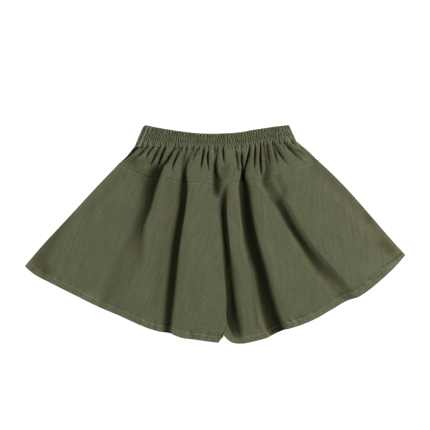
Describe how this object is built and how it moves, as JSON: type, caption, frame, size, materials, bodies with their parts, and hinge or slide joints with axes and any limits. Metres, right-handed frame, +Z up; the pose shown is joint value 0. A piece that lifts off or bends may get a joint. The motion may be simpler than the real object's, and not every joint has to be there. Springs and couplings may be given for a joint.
{
  "type": "child's flared shorts laid flat",
  "caption": "Pull-on flared shorts in olive woven cloth, laid flat: elastic waistband, gathered yoke, wide legs in soft flutes, narrow hems.",
  "frame": {"origin": "centre of the part's box, on the surface that it lies on", "axes": "+X to the right as seen from above the front, +Y from the hems to the waist, +Z up from the surface"},
  "size_m": [0.569, 0.327, 0.0144],
  "materials": {
    "cloth": "washed olive-green plain weave of linen or cotton, matt",
    "hem_cloth": "the same cloth, turned up twice",
    "band_cloth": "the same cloth, ruffled on its elastic by two rows of stitching"
  },
  "bodies": {
    "root": {"waistband_front": "band_cloth", "waistband_back": "band_cloth", "yoke_front": "cloth", "yoke_back": "cloth", "leg_front_left": "cloth", "leg_front_right": "cloth", "leg_back_left": "cloth", "leg_back_right": "cloth", "hem_front_left": "hem_cloth", "hem_front_right": "hem_cloth", "hem_back_left": "hem_cloth", "hem_back_right": "hem_cloth"}
  },
  "joints": []
}
